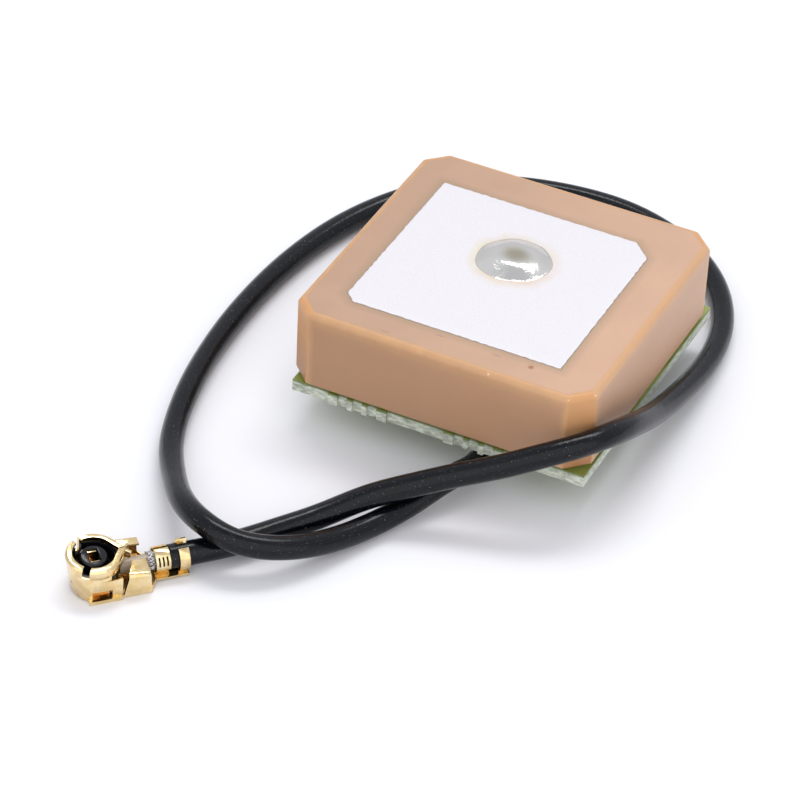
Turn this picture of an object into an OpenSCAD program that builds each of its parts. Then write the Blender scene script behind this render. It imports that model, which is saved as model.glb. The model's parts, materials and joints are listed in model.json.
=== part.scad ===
// Active GPS antenna module: a square ceramic patch on a small amplifier board,
// with a shield can below it and a short thin coaxial lead that ends in a micro coaxial plug.
// It stands on the can's face. X runs along the edge where the lead leaves, Z is up.

/* [Ceramic block] */
// Side of the square ceramic block
block_w = 15; // [14:0.1:18]
// Height of the ceramic block
block_h = 4; // [3:0.1:6]
// Leg of the chamfer on its four upright edges
block_chamfer = 1; // [0.7:0.05:1.4]
// Radius of the rounding along its top edge
block_round = 0.55; // [0.3:0.05:0.8]

/* [Silver electrodes] */
// Length of the top electrode along X
patch_x = 10.95; // [9:0.05:12]
// Length of the top electrode along Y
patch_y = 10.7; // [9:0.05:12]
// Thickness of the fired silver, top and bottom
silver_t = 0.04; // [0.02:0.01:0.1]
// Leg of the corner that is cut for circular polarisation
patch_cut = 0.95; // [0.4:0.05:2]
// Leg of the small cut on the opposite corner
patch_trim = 0.5; // [0.2:0.05:1.5]
// Offset of the top electrode along X
patch_dx = -0.18; // [-0.5:0.02:0.5]
// Offset of the top electrode along Y
patch_dy = -0.28; // [-0.5:0.02:0.5]
// Margin that the ground electrode leaves at the block's edge
ground_margin = 0.4; // [0.2:0.05:1]

/* [Feed pin] */
// Diameter of the pin's shank
pin_d = 0.9; // [0.6:0.05:1.2]
// Diameter of the pin's flat head
pin_head_d = 1.7; // [1.4:0.05:2.2]
// Thickness of the head
pin_head_t = 0.2; // [0.1:0.05:0.3]
// How far the shank stands out below the board
pin_tail = 0.5; // [0.3:0.05:0.7]
// Gap round the shank in the holes it passes through
pin_gap = 0.1; // [0.05:0.01:0.2]
// Place of the pin along X
feed_dx = -0.05; // [-0.5:0.05:0.5]
// Place of the pin along Y
feed_dy = 0.9; // [0.5:0.05:1.2]
// Diameter of the solder dome on the head
dome_d = 3.5; // [2.6:0.1:4.5]
// Height of the solder dome
dome_h = 0.5; // [0.4:0.05:0.8]
// Width of the shallow pit in the dome
pit_d = 0.9; // [0.6:0.1:1.2]
// Depth of that pit
pit_h = 0.14; // [0.06:0.02:0.2]

/* [Circuit board] */
// How much narrower the square board is than the block
board_less = 0.25; // [0:0.05:0.6]
// Thickness of the board
board_t = 0.6; // [0.4:0.1:1]
// Offset of the board along X
board_dx = 0.12; // [-0.2:0.02:0.2]
// Offset of the board along Y
board_dy = 0.07; // [-0.2:0.01:0.2]
// Thickness of the double-sided tape under the block
tape_t = 0.08; // [0.05:0.01:0.2]
// Thickness of the tinned copper lands
land_t = 0.04; // [0.02:0.01:0.06]
// How far the broken tab stubs stand out of the edge
stub_out = 0.14; // [0.1:0.01:0.3]
// Diameter of the drill row that weakened the tabs
stub_drill = 0.5; // [0.4:0.05:0.6]

/* [Shield can] */
// Distance from the board's side edges to the can
can_side = 1.7; // [1:0.05:2.2]
// Distance from the board's near edge to the can, where the lead's end lies
can_front = 4.15; // [3.6:0.05:4.6]
// Height of the can
can_h = 1.76; // [1.5:0.02:2.4]
// Thickness of the can's tinplate
can_t = 0.2; // [0.1:0.05:0.3]
// Radius of the can's upright corners
can_corner = 0.8; // [0.5:0.1:1.2]
// Radius along the edge of the can's face
can_edge = 0.35; // [0.3:0.05:0.5]
// Distance from the board's far edge to the can
can_back = 0.8; // [0.5:0.05:1]
// Height of the slots between the can's feet
can_slot_h = 0.3; // [0.2:0.05:0.5]

/* [Amplifier parts] */
// Length of the filter's square package
filter_w = 3; // [2.4:0.1:3.4]
// Height of the filter
filter_h = 0.9; // [0.6:0.05:1.1]
// Length of the amplifier chip's body
amp_l = 2; // [1.6:0.1:2.4]
// Width of the amplifier chip's body
amp_w = 1.25; // [1:0.05:1.5]
// Height of the amplifier chip's body
amp_h = 0.9; // [0.6:0.05:1.1]
// Length of the chip's six legs outside its body
amp_leg = 0.42; // [0.3:0.02:0.5]
// Length of a small chip part
chip_l = 1; // [0.8:0.05:1.2]
// Width of a small chip part
chip_w = 0.5; // [0.4:0.05:0.6]
// Length of the supply choke
choke_l = 1.6; // [1.3:0.1:2]
// Width and height of the supply choke
choke_w = 0.8; // [0.6:0.05:1]

/* [Coaxial lead] */
// Outer diameter of the jacket
jacket_d = 1.13; // [0.8:0.01:1.37]
// Diameter over the braid
braid_d = 0.9; // [0.7:0.01:1.1]
// Diameter of the insulation inside the braid
core_d = 0.68; // [0.4:0.01:0.7]
// Diameter of the stranded inner conductor
wire_d = 0.24; // [0.15:0.01:0.35]
// Place along X where the lead leaves the board
exit_x = 2.25; // [1.5:0.05:3]
// Length of jacket that lies under the board
jacket_in = 0.5; // [0.3:0.05:0.8]
// Length of braid that is bared and soldered down
braid_bare = 1; // [0.8:0.05:1.2]
// Length of inner insulation that is bared
core_bare = 0.4; // [0.2:0.05:0.6]
// Length of inner conductor that is soldered down
wire_bare = 0.7; // [0.5:0.05:0.8]

/* [Plug] */
// Place of the plug along X
plug_at_x = -9.4; // [-12:0.05:-8]
// Place of the plug along Y
plug_at_y = -22.1; // [-24:0.05:-20]
// Direction of the plug's tail
plug_yaw = 46; // [30:1:60]
// How far the lead's twist rolls the plug on to the near edge of its base
plug_roll = 6; // [0:1:8]
// Height of the plug to the ring's rim
plug_h = 1.9; // [1.8:0.05:2.2]
// Thickness of the gold-plated sheet
sheet_t = 0.12; // [0.08:0.01:0.14]
// Outer diameter of the spring ring
ring_d = 2.5; // [2.4:0.05:2.7]
// Distance from the ring's middle to the point where its free arms meet
ring_point = 1.5; // [1.46:0.02:1.6]
// Width of the rim, which is turned in over the insulator
rim_w = 0.3; // [0.24:0.02:0.32]
// Rounding of the rim's outer edge
rim_round = 0.1; // [0.04:0.02:0.12]
// How far the ring's end leans in at its foot
ring_lean = 0.25; // [0.1:0.05:0.3]
// Width of the slots that let the ring spring
ring_slot = 0.34; // [0.2:0.02:0.5]
// Depth of the near slot
ring_slot_h = 0.44; // [0.3:0.02:0.5]
// Height of the free arms that close the ring towards the tail
arm_h = 0.5; // [0.4:0.02:0.6]
// Length of the flared tip of each arm
arm_tip = 0.24; // [0.1:0.02:0.3]
// Height of the straight skirt below the arms
skirt_h = 1.2; // [1:0.05:1.2]
// Distance from the ring's middle to the skirt's open end
skirt_l = 1; // [0.8:0.02:1.04]
// Width of the base plate under the ring
base_w = 2.7; // [2.6:0.02:3]
// Length of each folded ear along the tail
ear_l = 1.29; // [1.1:0.05:1.4]
// Distance from the tail's middle to the outside of an ear
ear_out = 1.24; // [1.1:0.02:1.28]
// Outer radius of the ears' folds
ear_fold = 0.22; // [0.16:0.02:0.3]
// Distance from the tail's middle to the tip of the near ear
ear_tip = 0.26; // [0.2:0.02:0.5]
// Distance from the tail's middle to the tip of the far ear
far_ear_tip = 0.7; // [0.3:0.05:0.9]
// How steeply the ears fall towards the tail, in degrees
ear_pitch = 5; // [0:1:6]
// Room between the bared insulation and the ears folded over it
ear_room = 0.06; // [0.05:0.01:0.1]
// Length of the neck between the ears and the first barrel
neck_l = 0.4; // [0.3:0.02:0.6]
// Length of the barrel that is crimped on the braid
grip_l = 0.66; // [0.6:0.02:0.9]
// Length of the barrel that is crimped on the jacket
clamp_l = 0.46; // [0.4:0.02:0.6]
// Length of jacket that shows between the barrels
barrel_gap = 0.4; // [0.3:0.02:0.5]
// Width of the strip under the neck and the barrels
strip_w = 1.28; // [1:0.02:1.4]
// Diameter of the insulator's middle post
post_d = 1.28; // [1.1:0.02:1.3]
// How far the post's top lies below the rim
post_down = 0.14; // [0.1:0.02:0.3]
// How far the insulator's outer wall lies below the rim
wall_down = 0.34; // [0.2:0.02:0.4]
// Depth of the groove round the post
groove_h = 0.85; // [0.5:0.05:0.9]
// Width of the hole that holds the contact
socket_w = 0.5; // [0.46:0.02:0.6]
// Length of that hole across the plug
socket_l = 0.8; // [0.7:0.02:0.9]

/* [Hidden] */

$fn = 48;
cut = 1;                                   // overrun of every cutting tool
fit = 0.02;                                // clearance between seated pieces
z_axis = [0, 0, 1];

// Heights of the stack, from the can's face up
board_z = can_h;
tape_z = board_z + board_t;
ground_z = tape_z + tape_t;
block_z = ground_z + silver_t;
patch_z = block_z + block_h;
head_z = patch_z + silver_t;
pin_hole_d = pin_d + 2 * pin_gap;

// The board's edges and the can's size and place on it
board_w = block_w - board_less;
edge_near = board_dy - board_w / 2;
edge_far = board_dy + board_w / 2;
can_x = board_w - 2 * can_side;
can_y = board_w - can_front - can_back;
can_mid_y = edge_far - can_back - can_y / 2;

// A flat shape with four round corners, as squares and discs
module round_square(size, r) {
    square([size[0] - 2 * r, size[1]], center = true);
    square([size[0], size[1] - 2 * r], center = true);
    for (sx = [-1, 1], sy = [-1, 1])
        translate([sx * (size[0] / 2 - r), sy * (size[1] / 2 - r)])
            circle(r);
}

// The upright section of a slab w wide and h high whose top edges have the radius r
module crowned_section(w, h, r) {
    translate([-w / 2, 0])
        square([w, h - r]);
    translate([r - w / 2, 0])
        square([w - 2 * r, h]);
    for (s = [-1, 1])
        translate([s * (w / 2 - r), h - r])
            circle(r);
}

// That section carried through the block at the angle given
module crowned_bar(w, h, r, angle) {
    rotate([0, 0, angle])
        rotate([90, 0, 0])
            linear_extrude(3 * w, center = true)
                crowned_section(w, h, r);
}

// Ceramic: one pressed and fired block, four crowned bars deep, with the pin's hole
module ceramic_block() {
    across = sqrt(2) * (block_w - block_chamfer);
    color("#d0a288")
        difference() {
            translate([0, 0, block_z])
                intersection() {
                    crowned_bar(block_w, block_h, block_round, 0);
                    crowned_bar(block_w, block_h, block_round, 90);
                    crowned_bar(across, block_h, block_round, 45);
                    crowned_bar(across, block_h, block_round, -45);
                }
            translate([feed_dx, feed_dy, block_z - cut])
                cylinder(d = pin_hole_d, h = block_h + 2 * cut);
        }
}

// The silver's outline: a rectangle with two opposite corners cut
module patch_outline() {
    hx = patch_x / 2;
    hy = patch_y / 2;
    translate([patch_dx, patch_dy])
        polygon([[-hx + patch_trim, -hy], [hx, -hy], [hx, hy - patch_cut],
                 [hx - patch_cut, hy], [-hx, hy], [-hx, -hy + patch_trim]]);
}

module top_electrode() {
    color("#d9d5dd")
        translate([0, 0, patch_z])
            linear_extrude(silver_t)
                difference() {
                    patch_outline();
                    translate([feed_dx, feed_dy])
                        circle(d = pin_hole_d);
                }
}

// The block's outline at its foot, drawn in by a margin
module block_outline(margin) {
    h = block_w / 2 - margin;
    c = block_chamfer;
    polygon([[c - h, -h], [h - c, -h], [h, c - h], [h, h - c],
             [h - c, h], [c - h, h], [-h, h - c], [-h, c - h]]);
}

module ground_electrode() {
    color("#c9c9cf")
        translate([0, 0, ground_z])
            linear_extrude(silver_t)
                difference() {
                    block_outline(ground_margin);
                    translate([feed_dx, feed_dy])
                        circle(d = pin_head_d);
                }
}

// Pin: a nail with a flat head on the silver and its tip below the board
module feed_pin() {
    tip_z = board_z - pin_tail;
    nose = pin_d / 5;
    color("silver")
        translate([feed_dx, feed_dy, 0])
            rotate_extrude()
                polygon([[0, tip_z], [pin_d / 2 - nose, tip_z], [pin_d / 2, tip_z + nose], [pin_d / 2, head_z],
                         [pin_head_d / 2, head_z], [pin_head_d / 2, head_z + pin_head_t],
                         [0, head_z + pin_head_t]]);
}

// Solder dome: a low cap of a sphere that wets the silver and hides the head, with a pit left by the flux
pit_share = 0.15;                          // how far off the dome's middle the pit lies, as a share
function cap_radius(d, h) = (d * d / 4 + h * h) / (2 * h);
module feed_solder() {
    cap_r = cap_radius(dome_d, dome_h);
    pit_r = cap_radius(pit_d, pit_h);
    color("#b9bcc0")
        translate([feed_dx, feed_dy, head_z])
            difference() {
                intersection() {
                    translate([0, 0, dome_h - cap_r])
                        sphere(r = cap_r, $fn = 96);
                    cylinder(d = dome_d + cut, h = dome_h + cut);
                }
                translate([0, 0, -cut])
                    cylinder(d = pin_head_d, h = pin_head_t + cut);
                translate([0, pit_share * dome_d, dome_h - pit_h + pit_r])
                    sphere(r = pit_r, $fn = 96);
            }
}

// Solder cone on the tip of the pin, below the board's land
module pin_solder() {
    foot_d = pin_d + 4 * pin_gap;
    cone_h = pin_tail - land_t;
    color("#b9bcc0")
        translate([feed_dx, feed_dy, board_z - land_t - cone_h])
            difference() {
                rotate_extrude()
                    polygon([[0, 0], [pin_d / 2, 0], [pin_d / 2 + pin_gap, cone_h / 2],
                             [foot_d / 2, cone_h], [0, cone_h]]);
                translate([0, 0, -cut])
                    cylinder(d = pin_d, h = cone_h + 2 * cut);
            }
}

module mounting_tape() {
    color("#3c3a24")
        translate([0, 0, tape_z])
            linear_extrude(tape_t)
                difference() {
                    block_outline(ground_margin);
                    translate([feed_dx, feed_dy])
                        circle(d = pin_hole_d);
                }
}

// Row of drilled holes along a broken tab; it leaves ragged stubs on the edge
stub_pitch_share = 1.5;                    // pitch of the drills, as a share of their diameter
stub_holes = 3;
module tab_stub() {
    pitch = stub_drill * stub_pitch_share;
    difference() {
        translate([-(stub_holes + 1) * pitch / 2, -stub_out])
            square([(stub_holes + 1) * pitch, 2 * stub_out]);
        for (i = [0 : stub_holes - 1])
            translate([(i - (stub_holes - 1) / 2) * pitch, -stub_out])
                circle(d = stub_drill);
    }
}

// The board's outline: a square with tab stubs on its near and left edges
tab_shares = [-0.27, 0.13];                // places of the tabs along an edge, as shares of it
module board_outline() {
    translate([board_dx, board_dy]) {
        square(board_w, center = true);
        for (s = tab_shares) {
            translate([s * board_w, -board_w / 2])
                tab_stub();
            translate([-board_w / 2, s * board_w])
                rotate([0, 0, -90])
                    tab_stub();
        }
    }
}

// Lands of tinned copper on the underside, for the braid, the wire, the pin and the can
land_margin = jacket_d / 2;
braid_y = edge_near + jacket_in;
core_y = braid_y + braid_bare;
wire_y = core_y + core_bare;
module lands() {
    translate([exit_x - jacket_d / 2 - land_margin, braid_y])
        square([jacket_d + 2 * land_margin, braid_bare]);
    translate([exit_x - jacket_d / 2, wire_y])
        square([jacket_d, wire_bare]);
    translate([feed_dx, feed_dy])
        difference() {
            circle(d = pin_hole_d + jacket_d);
            circle(d = pin_hole_d);
        }
    translate([board_dx, can_mid_y])
        difference() {
            round_square([can_x + 2 * can_t, can_y + 2 * can_t], can_corner + can_t);
            round_square([can_x - 3 * can_t, can_y - 3 * can_t], can_corner);
        }
}

module circuit_board() {
    color("#7d8f4e")
        difference() {
            union() {
                translate([0, 0, board_z])
                    linear_extrude(board_t)
                        board_outline();
                translate([0, 0, board_z - land_t])
                    linear_extrude(land_t)
                        lands();
            }
            translate([feed_dx, feed_dy, board_z - cut])
                cylinder(d = pin_hole_d, h = board_t + 2 * cut);
        }
}

// A low box with round upright corners and a round top edge
module crowned_box(size, h, edge, corner) {
    intersection() {
        linear_extrude(h)
            round_square(size, corner);
        crowned_bar(size[0], h, edge, 0);
        crowned_bar(size[1], h, edge, 90);
    }
}

// Shield can: drawn tinplate, its face on the ground and its feet on the board's land.
// Slots between the feet leave room for the tracks.
slot_share = 0.14;                         // width of a slot, as a share of its side
slot_shares = [-0.3, 0, 0.3];              // places of the slots along a side, as shares of it
can_wall_h = can_h - land_t;
can_inner_edge = max(can_edge - can_t, can_t / 4);
can_inner_corner = max(can_corner - can_t, can_t / 4);
module shield_can() {
    color("#c4c6c8")
        translate([board_dx, can_mid_y, can_wall_h])
            mirror(z_axis)
                difference() {
                    crowned_box([can_x, can_y], can_wall_h, can_edge, can_corner);
                    translate([0, 0, -can_t])
                        crowned_box([can_x - 2 * can_t, can_y - 2 * can_t], can_wall_h,
                                    can_inner_edge, can_inner_corner);
                    for (s = slot_shares) {
                        translate([s * can_x, 0, 0])
                            cube([slot_share * can_x, can_y + cut, 2 * can_slot_h], center = true);
                        translate([0, s * can_y, 0])
                            cube([can_x + cut, slot_share * can_y, 2 * can_slot_h], center = true);
                    }
                }
}

// Solder fillets outside the feet, between the can's wall and its land
foot_share = 0.1;                          // length of a fillet, as a share of its side
foot_shares = [-0.15, 0.15];               // places of the fillets along a side
module fillet(length) {
    rotate([90, 0, 90])
        linear_extrude(length, center = true)
            polygon([[0, 0], [can_t, 0], [0, -can_t]]);
}
module can_solder() {
    color("#b9bcc0")
        translate([board_dx, can_mid_y, can_wall_h])
            for (s = foot_shares) {
                translate([s * can_x, can_y / 2, 0])
                    fillet(foot_share * can_x);
                translate([s * can_x, -can_y / 2, 0])
                    mirror([0, 1, 0])
                        fillet(foot_share * can_x);
                translate([-can_x / 2, s * can_y, 0])
                    rotate([0, 0, 90])
                        fillet(foot_share * can_y);
                translate([can_x / 2, s * can_y, 0])
                    rotate([0, 0, -90])
                        fillet(foot_share * can_y);
            }
}

// Puts a part upside down on the board's underside, at shares of the can's two sides
module under_board(shares) {
    translate([board_dx + shares[0] * can_x, can_mid_y + shares[1] * can_y, board_z])
        mirror(z_axis)
            children();
}

// Band filter: a square ceramic package with a metal lid that is a little smaller
filter_shares = [-0.29, -0.17];
lid_share = 0.15;                          // height of the lid, as a share of the package
module band_filter() {
    lid_h = lid_share * filter_h;
    lid_w = filter_w - 2 * lid_h;
    color("#8f8c80")
        under_board(filter_shares) {
            translate([0, 0, (filter_h - lid_h) / 2])
                cube([filter_w, filter_w, filter_h - lid_h], center = true);
            linear_extrude(filter_h)
                round_square([lid_w, lid_w], lid_h);
        }
}

// Amplifier chip: a moulded body with tapered sides and three bent legs on each side
amp_shares = [0.24, -0.24];
leg_share = 0.16;                          // width of a leg, as a share of the body's length
leg_t_share = 0.13;                        // thickness of a leg, as a share of the body's height
leg_pitch_share = 0.325;
module amplifier_chip() {
    leg_t = leg_t_share * amp_h;
    mid = amp_h / 2;
    inner = amp_w / 2 - leg_t;
    knee = amp_w / 2 + amp_leg / 2;
    tip = amp_w / 2 + amp_leg;
    color("#2a2a2c")
        under_board(amp_shares) {
            translate([-amp_l / 2, 0, 0])
                rotate([90, 0, 90])
                    linear_extrude(amp_l)
                        polygon([[-amp_w / 2 + leg_t, leg_t / 2], [amp_w / 2 - leg_t, leg_t / 2],
                                 [amp_w / 2, mid], [amp_w / 2 - leg_t, amp_h],
                                 [leg_t - amp_w / 2, amp_h], [-amp_w / 2, mid]]);
            for (i = [-1 : 1], s = [0, 1])
                mirror([0, s, 0])
                    translate([i * leg_pitch_share * amp_l, 0, 0])
                        rotate([90, 0, 90])
                            linear_extrude(leg_share * amp_l, center = true)
                                polygon([[inner, mid - leg_t / 2], [knee - leg_t, mid - leg_t / 2],
                                         [knee - leg_t / 2, 0], [tip, 0], [tip, leg_t],
                                         [knee + leg_t / 2, leg_t], [knee, mid + leg_t / 2],
                                         [inner, mid + leg_t / 2]]);
        }
}

// A two-ended chip part: a body between two metal end caps that stand proud of it
cap_share = 0.24;                          // length of an end cap, as a share of the part
body_share = 0.9;                          // thickness of the body, as a share of its caps
module chip_part(l, w, h) {
    cap_l = cap_share * l;
    for (s = [-1, 1])
        translate([s * (l - cap_l) / 2, 0, h / 2])
            cube([cap_l, w, h], center = true);
    translate([0, 0, h / 2])
        cube([l - cap_l, body_share * w, body_share * h], center = true);
}

choke_shares = [0.32, 0.1];
module supply_choke() {
    color("#6b6f78")
        under_board(choke_shares)
            chip_part(choke_l, choke_w, choke_w);
}

capacitor_shares = [[-0.3, 0.1], [-0.15, 0.3], [0.05, 0.26], [0.29, 0.32], [0.02, -0.36]];
module chip_capacitors() {
    color("#b8a58a")
        for (s = capacitor_shares)
            under_board(s)
                chip_part(chip_l, chip_w, chip_w);
}

resistor_shares = [[-0.34, 0.32], [0.16, 0.1]];
resistor_h_share = 0.7;                    // a resistor is flatter than a capacitor
module chip_resistors() {
    color("#26262a")
        for (s = resistor_shares)
            under_board(s)
                chip_part(chip_l, chip_w, resistor_h_share * chip_w);
}

// Axis of the lead where it lies against the board's underside
lead_z = board_z - jacket_d / 2 - fit;
module along_lead(y) {
    translate([exit_x, y, lead_z])
        rotate([-90, 0, 0])
            children();
}
module tube(outer, inner, length) {
    difference() {
        cylinder(d = outer, h = length);
        translate([0, 0, -cut])
            cylinder(d = inner, h = length + 2 * cut);
    }
}

module lead_braid() {
    color("#bfc1c4")
        along_lead(braid_y)
            tube(braid_d, core_d, braid_bare);
}

module lead_core() {
    color("#e9e6dc")
        along_lead(braid_y)
            tube(core_d, wire_d, braid_bare + core_bare);
}

module lead_wire() {
    color("#c08a5a")
        along_lead(braid_y)
            cylinder(d = wire_d, h = braid_bare + core_bare + wire_bare - wire_d);
}

// Solder that joins the braid to its land, drawn up round the sides of the braid
module braid_solder() {
    land_w = jacket_d + land_margin;
    rise = lead_z - braid_d / 4;
    top = board_z - land_t;
    length = braid_bare - 2 * fit;
    color("#b9bcc0")
        difference() {
            translate([exit_x, core_y - fit, 0])
                rotate([90, 0, 0])
                    linear_extrude(length)
                        polygon([[-land_w / 2, top], [land_w / 2, top], [land_w / 2 - fit, top - land_t],
                                 [braid_d / 2 + land_t, rise], [-braid_d / 2 - land_t, rise],
                                 [fit - land_w / 2, top - land_t]]);
            along_lead(braid_y - cut)
                cylinder(d = braid_d, h = braid_bare + 2 * cut);
        }
}

// Solder bead on the land of the inner conductor
module wire_solder() {
    bead_r = (wire_bare - 2 * fit) / 2;
    top = board_z - land_t;
    bead_h = top - lead_z + wire_d;
    color("#b9bcc0")
        difference() {
            translate([exit_x, wire_y + wire_bare / 2, top - bead_h])
                rotate_extrude()
                    polygon([[0, 0], [bead_r / 2, 0], [0.9 * bead_r, bead_h / 2], [bead_r, bead_h],
                             [0, bead_h]]);
            along_lead(wire_y - cut)
                cylinder(d = wire_d, h = cut + wire_bare - wire_d);
        }
}

// Places along the plug, measured from the middle of its ring towards the tail
base_t = sheet_t * 5 / 3;
ring_r = ring_d / 2;
arm_z = plug_h - arm_h;
ear_start = skirt_l + sheet_t / 2;
ear_end = ear_start + ear_l;
grip_start = ear_end + neck_l;
grip_end = grip_start + grip_l;
clamp_start = grip_end + barrel_gap;
clamp_end = clamp_start + clamp_l;
tail_z = sheet_t + fit + jacket_d / 2;
ear_top = tail_z + core_d / 2 + ear_room + sheet_t;
post_z = plug_h - post_down;
groove_z = post_z - groove_h;
contact_t = sheet_t * 5 / 6;
strip_z = tail_z - wire_d / 2 - contact_t;
channel_w = wire_d + contact_t;
channel_top = tail_z + wire_d / 2 + fit;
insulator_end = ring_r - sheet_t;

// The plug's own frame: rolled about the near bottom edge of its base
roll_at = base_w / 2;
module in_plug() {
    translate([plug_at_x, plug_at_y, 0])
        rotate([0, 0, plug_yaw])
            translate([0, -roll_at, 0])
                rotate([plug_roll, 0, 0])
                    translate([0, roll_at, 0])
                        children();
}

// A drop shape: a disc and the wedge between its two tangents from the point.
// It is the ring's outline, drawn in by a margin.
module drop(margin) {
    r = ring_r - margin;
    point = ring_point * r / ring_r;
    side = r * sqrt(1 - pow(r / point, 2));
    circle(r = r);
    polygon([[r * r / point, -side], [point, 0], [r * r / point, side]]);
}

// The skirt's outline: half a disc that runs straight on towards the tail
module skirt_outline(margin, end) {
    r = ring_r - margin;
    circle(r = r);
    translate([0, -r])
        square([end, 2 * r]);
}

// What the leaning end of the ring stays inside, drawn in by a margin
lean_share = 1.4;                          // middle of the leaning cone, as a share of the lean
module lean(margin) {
    middle = lean_share * ring_lean;
    translate([middle, 0, 0])
        cylinder(r1 = ring_r - ring_lean + middle - margin, r2 = ring_r + middle + fit - margin,
                 h = plug_h + fit);
}

// Slots through the ring's rim, the far one deeper than the near one
slot_angles = [117, -122];                 // their places, from the tail's direction
slot_depth_shares = [1.8, 1];
module spring_slots() {
    for (i = [0, 1])
        rotate([0, 0, slot_angles[i]])
            translate([ring_r / 2, -ring_slot / 2, plug_h - slot_depth_shares[i] * ring_slot_h])
                cube([ring_r, ring_slot, plug_h]);
}

// Spring ring: a wall with its floor, a straight skirt, two free arms and the rim turned in.
// The arms are cut free from the skirt by a gap, and part from each other at the point.
// A tongue of the wall, the lance, is bent in behind the window and holds the insulator.
arm_root_share = 0.4;                      // where the arms come free, as a share of the ring's radius
arm_tip_angle = 38;
peep_angle = -170;                         // place of the small hole in the leaning end
peep_share = 0.3;
window_x = [for (s = [-0.29, 0.43]) s * ring_r];
window_top = 0.34 * plug_h;
lance_y = ring_r - 2.2 * sheet_t;          // distance from the middle to the lance's outside
module ring_outside() {
    intersection() {
        union() {
            linear_extrude(skirt_h)
                skirt_outline(0, skirt_l);
            linear_extrude(arm_z + fit)
                difference() {
                    circle(r = ring_r);
                    translate([arm_root_share * ring_r, -ring_r])
                        square(2 * ring_r);
                }
            hull() {
                translate([0, 0, arm_z])
                    linear_extrude(arm_h - rim_round)
                        drop(0);
                translate([0, 0, plug_h - fit])
                    linear_extrude(fit)
                        drop(rim_round);
            }
        }
        lean(0);
    }
}
module ring_inside() {
    intersection() {
        translate([0, 0, base_t])
            union() {
                linear_extrude(skirt_h - base_t + fit)
                    skirt_outline(sheet_t, skirt_l + cut);
                linear_extrude(plug_h - sheet_t - base_t)
                    drop(sheet_t);
            }
        union() {
            lean(sheet_t);
            translate([ring_r, -ring_r, 0])
                cube([ring_point, ring_d, plug_h]);
        }
    }
    translate([0, 0, base_t])
        linear_extrude(plug_h)
            drop(rim_w);
}
module spring_ring() {
    difference() {
        union() {
            difference() {
                ring_outside();
                ring_inside();
            }
            for (s = [0, 1])
                mirror([0, s, 0])
                    translate([ring_point - sheet_t, 0, arm_z])
                        rotate([0, 0, arm_tip_angle])
                            cube([arm_tip + sheet_t, sheet_t, arm_h - rim_round]);
        }
        spring_slots();
        translate([window_x[0], -base_w, base_t])
            cube([window_x[1] - window_x[0], base_w, window_top - base_t]);
        rotate([0, 0, peep_angle])
            translate([ring_r / 2, 0, peep_share * plug_h])
                rotate([0, 90, 0])
                    cylinder(d = sheet_t, h = ring_r);
        translate([ring_r / 2, -sheet_t / 4, base_t])
            cube([ring_point, sheet_t / 2, plug_h]);
    }
}

// One folded ear as a section across the tail: an upright side, a round fold and a top turned inwards
module ear_section(tip) {
    difference() {
        union() {
            translate([tip, 0])
                square([ear_out - ear_fold - tip, ear_top]);
            translate([tip, 0])
                square([ear_out - tip, ear_top - ear_fold]);
            translate([ear_out - ear_fold, ear_top - ear_fold])
                circle(r = ear_fold);
        }
        translate([0, -cut])
            square([ear_out - ear_fold, ear_top - sheet_t + cut]);
        translate([0, -cut])
            square([ear_out - sheet_t, ear_top - ear_fold + cut]);
        translate([ear_out - ear_fold, ear_top - ear_fold])
            circle(r = ear_fold - sheet_t);
    }
}

// An ear falls a little towards the tail; its front edge slants back as it rises and turns in
ear_slant_shares = [0.19, 0.5];            // how far, at the fold and at the tip, as shares of its length
module ear(tip, side) {
    slant = ear_slant_shares[0] * ear_l;
    skew = ear_slant_shares[1] * ear_l;
    middle = (ear_start + ear_end) / 2;
    rise = ear_top + cut;
    intersection() {
        translate([middle, 0, 0])
            rotate([0, ear_pitch, 0])
                mirror([0, side, 0])
                    rotate([90, 0, 90])
                        linear_extrude(2 * ear_l, center = true)
                            ear_section(tip);
        rotate([90, 0, 0])
            linear_extrude(3 * ear_out, center = true)
                polygon([[ear_start, 0], [ear_end, 0], [ear_end - sheet_t / 2, ear_top],
                         [ear_end - sheet_t / 2, rise], [ear_start + slant, rise],
                         [ear_start + slant, ear_top]]);
        mirror([0, side, 0])
            linear_extrude(rise)
                polygon([[ear_start, ear_out + fit], [ear_start, ear_out - sheet_t],
                         [ear_start + slant, ear_out - sheet_t], [ear_start + skew, ear_tip - fit],
                         [ear_end + sheet_t, ear_tip - fit], [ear_end + sheet_t, ear_out + fit]]);
    }
}

// The strip's outline between the ears and the first barrel, drawn in by a margin
module neck_outline(margin) {
    wide = ear_out - margin;
    narrow = strip_w / 2 - margin;
    polygon([[ear_end - sheet_t, -wide], [ear_end, -wide], [grip_start, -narrow],
             [grip_start + margin, -narrow], [grip_start + margin, narrow], [grip_start, narrow],
             [ear_end, wide], [ear_end - sheet_t, wide]]);
}

// One crimped barrel lying along X: a band that is open on top between its two wing tips
module barrel(start, length, bore, opening) {
    outer = bore + 2 * sheet_t;
    translate([start, 0, tail_z])
        rotate([90, 0, 90])
            linear_extrude(length)
                difference() {
                    circle(d = outer);
                    circle(d = bore);
                    polygon([[0, 0], [outer * cos(opening[0]), outer * sin(opening[0])],
                             [outer * cos(opening[1]), outer * sin(opening[1])]]);
                }
}

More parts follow.
